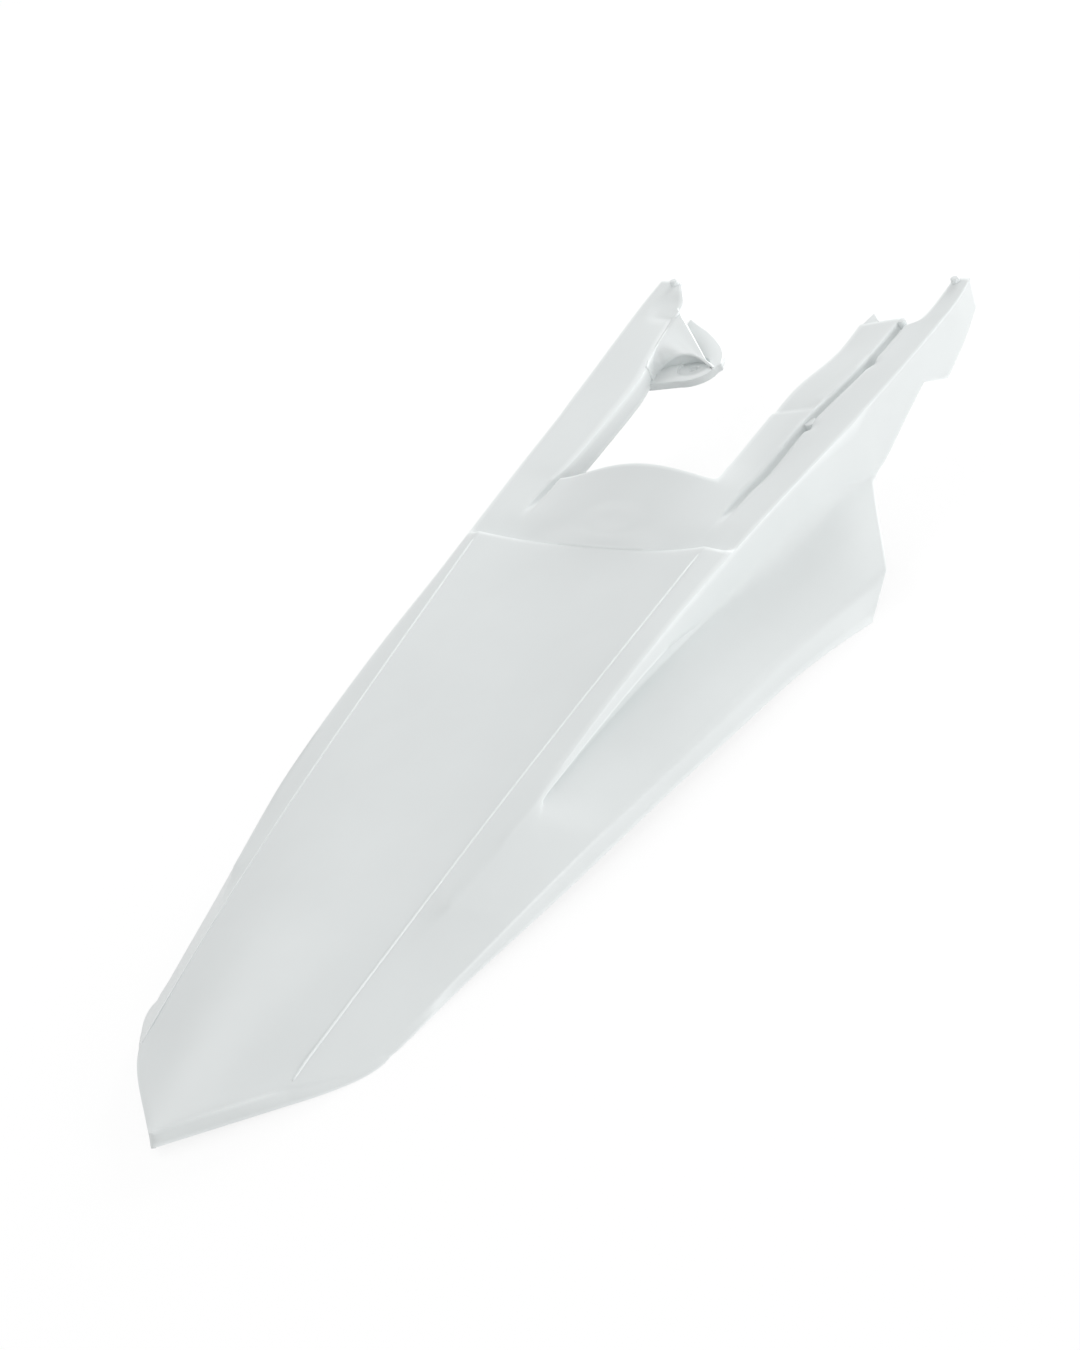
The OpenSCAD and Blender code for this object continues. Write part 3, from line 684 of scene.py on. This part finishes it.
def plastic_material():
    """White polypropylene, injection moulded in a polished mould.

    The eye gets a slightly waxy gloss, faint clouds where the melt flowed and a fine orange-peel skin;
    its sharp edges get a painted highlight, paler and a little duller.
    """
    mat = bpy.data.materials.new("moulded gloss polypropylene")
    mat.use_nodes = True
    tree = mat.node_tree
    tree.nodes.clear()
    where = add(tree, "ShaderNodeTexCoord").outputs["Object"]
    # Clouds of about 60 mm from the flow of the melt, skin of about 2.5 mm, fine grain of 0.6 mm
    flow = add(tree, "ShaderNodeTexNoise", {"Scale": 1000 / 60, "Detail": 3.0}, {"Vector": where})
    skin = add(tree, "ShaderNodeTexNoise", {"Scale": 1000 / 2.5, "Detail": 3.0}, {"Vector": where})
    grain = add(tree, "ShaderNodeTexNoise", {"Scale": 1000 / 0.6, "Detail": 2.0}, {"Vector": where})
    shade = add(tree, "ShaderNodeValToRGB", links={"Fac": flow.outputs["Fac"]})
    shade.color_ramp.elements[0].color = linear("#e2e6e6")
    shade.color_ramp.elements[1].color = linear("#eaeeee")
    # Painted highlight: the sharp edges are mixed towards a paler white, and their roughness is raised a
    # little
    highlight_mask = add(tree, "ShaderNodeAttribute", {"attribute_name": "painted_edge_highlight"}).outputs["Fac"]
    colour = add(tree, "ShaderNodeMix", {"data_type": "RGBA", 7: linear("#f4f8f8")},
                 {0: highlight_mask, 6: shade.outputs["Color"]})
    gloss = add(tree, "ShaderNodeMapRange", {"To Min": 0.28, "To Max": 0.37}, {"Value": grain.outputs["Fac"]})
    rough = add(tree, "ShaderNodeMath", {"operation": "MULTIPLY_ADD", 1: 0.16},
                {0: highlight_mask, 2: gloss.outputs["Result"]})
    bump = add(tree, "ShaderNodeBump", {"Strength": 0.05, "Distance": 0.0002},
               {"Height": skin.outputs["Fac"]})
    shader = add(tree, "ShaderNodeBsdfPrincipled", {"IOR": 1.49, "Specular IOR Level": 0.4},
                 {"Base Color": colour.outputs[2], "Roughness": rough.outputs[0],
                  "Normal": bump.outputs["Normal"]})
    add(tree, "ShaderNodeOutputMaterial", links={"Surface": shader.outputs["BSDF"]})
    return mat


def make_stage():
    """White paper floor under the fender."""
    bm = bmesh.new()
    bmesh.ops.create_grid(bm, x_segments=1, y_segments=1, size=6)
    mesh = bpy.data.meshes.new("floor")
    bm.to_mesh(mesh)
    bm.free()
    floor = bpy.data.objects.new("floor", mesh)
    bpy.context.scene.collection.objects.link(floor)
    mat = bpy.data.materials.new("matt white paper floor")
    mat.use_nodes = True
    tree = mat.node_tree
    tree.nodes.clear()
    paper = add(tree, "ShaderNodeBsdfDiffuse", {"Color": linear("#f6f6f6")})
    glow = add(tree, "ShaderNodeEmission", {"Color": (1, 1, 1, 1), "Strength": FLOOR_GLOW})
    # What the camera sees of the floor is mostly plain white, with a faint shadow left in it
    seen = add(tree, "ShaderNodeMixShader", {0: FLOOR_PLAIN}, {1: paper.outputs[0], 2: glow.outputs[0]})
    ray = add(tree, "ShaderNodeLightPath")
    both = add(tree, "ShaderNodeMixShader",
               links={0: ray.outputs["Is Camera Ray"], 1: paper.outputs[0], 2: seen.outputs[0]})
    add(tree, "ShaderNodeOutputMaterial", links={"Surface": both.outputs[0]})
    mesh.materials.append(mat)


def make_lights():
    """Even light of a white room, and three softboxes; the camera sees the room as plain white."""
    world = bpy.data.worlds.new("soft studio")
    bpy.context.scene.world = world
    world.use_nodes = True
    tree = world.node_tree
    tree.nodes.clear()
    ray = add(tree, "ShaderNodeLightPath")
    room = add(tree, "ShaderNodeBackground", {"Color": (1, 1, 1, 1), "Strength": ROOM_LIGHT})
    white = add(tree, "ShaderNodeBackground", {"Color": (1, 1, 1, 1), "Strength": 1.0})
    both = add(tree, "ShaderNodeMixShader",
               links={0: ray.outputs["Is Camera Ray"], 1: room.outputs[0], 2: white.outputs[0]})
    add(tree, "ShaderNodeOutputWorld", links={"Surface": both.outputs[0]})

    # Softboxes: direction round the fender, height above the floor (degrees), power
    for name, azimuth, height, watts in (("side softbox", 270, 1, 28), ("front softbox", 0, 12, 42),
                                         ("rear softbox", 90, 50, 10)):
        lamp = bpy.data.lights.new(name, "AREA")
        lamp.size, lamp.energy = SOFTBOX_SIZE, watts
        lamp_object = bpy.data.objects.new(name, lamp)
        turn, rise = math.radians(azimuth), math.radians(height)
        way = Vector((math.cos(rise) * math.cos(turn), math.cos(rise) * math.sin(turn), math.sin(rise)))
        lamp_object.location = SOFTBOX_AWAY * way + Vector((0, 0, SOFTBOX_TARGET))
        lamp_object.rotation_mode = "QUATERNION"
        lamp_object.rotation_quaternion = way.to_track_quat("Z", "Y")
        bpy.context.scene.collection.objects.link(lamp_object)


def make_camera():
    """The photograph's camera: behind, to the right and above, rolled to stand the fender up."""
    azimuth, elevation, roll = (math.radians(a) for a in (AZIMUTH, ELEVATION, ROLL))
    back = Vector((-math.cos(elevation) * math.cos(azimuth), -math.cos(elevation) * math.sin(azimuth),
                   math.sin(elevation)))
    level = Vector((math.sin(azimuth), -math.cos(azimuth), 0))
    upright = level.cross(-back)
    right = math.cos(roll) * level - math.sin(roll) * upright
    up = math.sin(roll) * level + math.cos(roll) * upright
    lens = bpy.data.cameras.new("photo camera")
    lens.lens, lens.sensor_width = 70.0, 36.0
    lens.clip_start, lens.clip_end = 0.05, 50
    camera = bpy.data.objects.new("photo camera", lens)
    turn = Matrix((right, up, back)).transposed().to_4x4()
    turn.translation = mm(*CAMERA_AT)
    camera.matrix_world = turn
    bpy.context.scene.collection.objects.link(camera)
    bpy.context.scene.camera = camera


main()
bpy.context.scene.view_settings.view_transform = "Standard"
bpy.context.view_layer.update()
